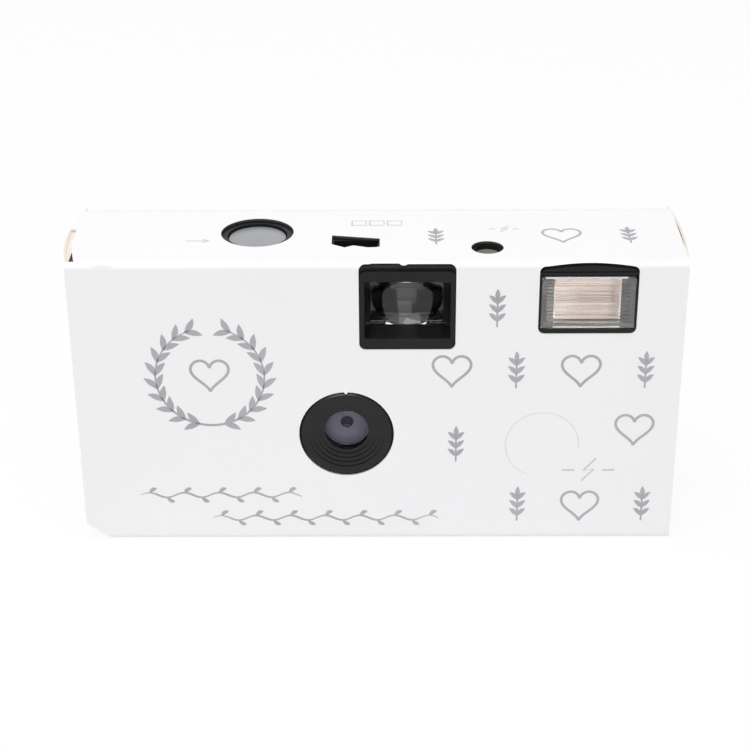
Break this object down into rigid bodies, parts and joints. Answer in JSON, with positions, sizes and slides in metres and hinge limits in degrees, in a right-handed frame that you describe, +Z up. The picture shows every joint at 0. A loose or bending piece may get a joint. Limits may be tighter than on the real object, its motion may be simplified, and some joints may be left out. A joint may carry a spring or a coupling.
{
  "type": "disposable film camera",
  "caption": "Flat box camera in a folded white board carton, with a stepped lens ring, a funnel viewfinder, a ribbed flash window, a top button and a rear thumbwheel.",
  "frame": {"origin": "middle of the carton's base, on the surface that it stands on", "axes": "+X to the right seen from the front, +Y from the lens side to the back, +Z up"},
  "size_m": [0.1205, 0.0307, 0.061],
  "materials": {
    "white_board": "semi-gloss printed board",
    "black_abs": "fine matt texture",
    "black_gloss": "satin black",
    "grey_plastic": "satin silver grey",
    "clear_plastic": "clear moulded acrylic",
    "white_plastic": "natural acetal",
    "plated_steel": "bright plated sheet and wire",
    "blackened_steel": "blackened sheet",
    "cartridge_tin": "lacquered tin",
    "film_base": "film base",
    "bright_foil": "polished reflector",
    "tube_glass": "clear glass",
    "board_green": "solder mask",
    "part_tan": "resistor body",
    "sleeve_dark": "sleeved can",
    "winding": "varnished winding",
    "lamp_glass": "unlit lamp glass",
    "cell_jacket": "plain jacket",
    "contact_brass": "sprung brass"
  },
  "bodies": {
    "camera": {"carton": "white_board", "front_cover": "black_abs", "rear_cover": "black_abs", "chassis": "black_abs", "mechanism_plate": "plated_steel", "lens_ring": "black_gloss", "taking_lens": "clear_plastic", "lens_plate": "black_abs", "blade_spring": "plated_steel", "striker_spring": "plated_steel", "metering_spring": "plated_steel", "button_spring": "plated_steel", "counter_window": "clear_plastic", "cartridge_shell": "cartridge_tin", "cartridge_caps": "blackened_steel", "film_strip": "film_base", "finder_objective": "clear_plastic", "finder_eyepiece": "clear_plastic", "flash_window": "clear_plastic", "flash_reflector": "bright_foil", "flash_tube": "tube_glass", "flash_board": "board_green", "board_parts": "part_tan", "flash_capacitor": "sleeve_dark", "transformer": "winding", "trigger_coil": "winding", "ready_lamp": "lamp_glass", "light_guide": "lamp_glass", "battery": "cell_jacket", "contact_plus": "contact_brass", "contact_minus": "contact_brass", "switch_leaf": "contact_brass", "sync_contact": "contact_brass"},
    "shutter_release": {"shutter_button": "grey_plastic"},
    "metering": {"metering_lever": "black_abs"},
    "advance": {"thumbwheel": "black_gloss", "cartridge_spool": "black_abs"},
    "sprocket": {"film_sprocket": "white_plastic"},
    "counter": {"counter_dial": "black_abs"},
    "supply": {"supply_spool": "white_plastic", "film_roll": "film_base"},
    "striker": {"striker_lever": "black_abs"},
    "blade": {"shutter_blade": "blackened_steel"},
    "flash_release": {"flash_tab": "white_board", "flash_key": "black_abs"}
  },
  "joints": [
    {"name": "shutter_press", "type": "slide", "parent": "camera", "child": "shutter_release", "axis": [0, 0, -1], "range_m": [0, 0.0012], "stiffness_N_per_m": 400, "deforming": ["button_spring"]},
    {"name": "metering_swing", "type": "hinge", "parent": "camera", "child": "metering", "pos_m": [-0.017, -0.006, 0.0494], "axis": [0, 0, 1], "range_deg": [0, 8.12]},
    {"name": "advance_turn", "type": "hinge", "parent": "camera", "child": "advance", "pos_m": [-0.0413, 0.001, 0.05], "axis": [0, 0, 1], "continuous": true},
    {"name": "sprocket_turn", "type": "hinge", "parent": "camera", "child": "sprocket", "pos_m": [-0.021, 0.00615, 0.045], "axis": [0, 0, 1], "continuous": true},
    {"name": "counter_turn", "type": "hinge", "parent": "camera", "child": "counter", "pos_m": [-0.0115, -0.0035, 0.05], "axis": [0, 0, 1], "continuous": true},
    {"name": "supply_turn", "type": "hinge", "parent": "camera", "child": "supply", "pos_m": [0.0246, 0.0034, 0.02425], "axis": [0, 0, 1], "continuous": true},
    {"name": "striker_cock", "type": "hinge", "parent": "camera", "child": "striker", "pos_m": [-0.013, 0.007, 0.052], "axis": [0, 0, -1], "range_deg": [0, 12], "stiffness_Nm_per_rad": 0.002},
    {"name": "blade_swing", "type": "hinge", "parent": "camera", "child": "blade", "pos_m": [-0.001, -0.00882, 0.033], "axis": [0, 1, 0], "range_deg": [0, 30], "stiffness_Nm_per_rad": 0.00005},
    {"name": "flash_tab_bend", "type": "hinge", "parent": "camera", "child": "flash_release", "pos_m": [0.03489, -0.01475, 0.01799], "axis": [-0.8434, 0, -0.5373], "range_deg": [0, 6], "stiffness_Nm_per_rad": 0.02}
  ],
  "couplings": [
    {"joint": "metering_swing", "follows": "shutter_press", "rad_per_m": 118},
    {"joint": "sprocket_turn", "follows": "advance_turn", "ratio": 0.92594},
    {"joint": "counter_turn", "follows": "advance_turn", "ratio": -0.033069},
    {"joint": "supply_turn", "follows": "advance_turn", "ratio": 0.62921}
  ]
}
